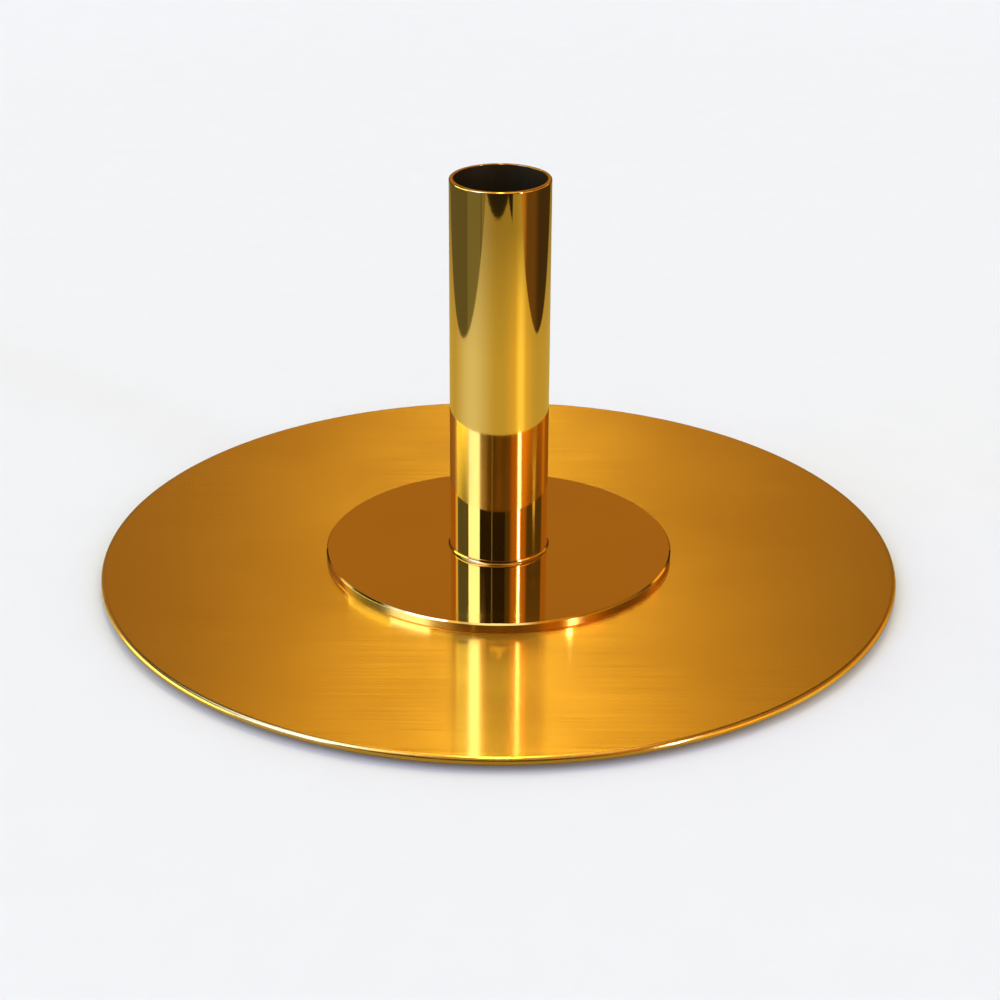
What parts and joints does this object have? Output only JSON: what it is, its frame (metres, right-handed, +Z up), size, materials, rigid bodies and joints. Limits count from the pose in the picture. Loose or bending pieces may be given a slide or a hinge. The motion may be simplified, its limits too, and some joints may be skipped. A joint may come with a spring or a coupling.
{
  "type": "candle holder",
  "caption": "Low table candle holder: a bored tube for a dinner candle on a small polished disc and a wide thin brushed round plate, all in brass.",
  "frame": {"origin": "on the table, at the centre of the felt pad's underside, on the tube's axis", "axes": "+Z up along the tube's axis, out of the candle socket; +X and +Y are free, because the holder is round"},
  "size_m": [0.204, 0.204, 0.104],
  "materials": {
    "brushed_brass": "fine brushed, clear lacquered",
    "polished_brass": "mirror polished",
    "braze_alloy": "bright, as brazed and buffed",
    "turned_brass": "as turned",
    "pressed_brass": "satin",
    "screw_steel": "zinc plated, satin",
    "brown_felt": "pressed wool felt, matte"
  },
  "bodies": {
    "root": {"base_plate": "brushed_brass", "base_disc": "polished_brass", "candle_tube": "polished_brass", "braze_fillet": "braze_alloy", "foot_plug": "turned_brass", "candle_seat": "pressed_brass", "fixing_screw": "screw_steel", "felt_pad": "brown_felt"}
  },
  "joints": []
}
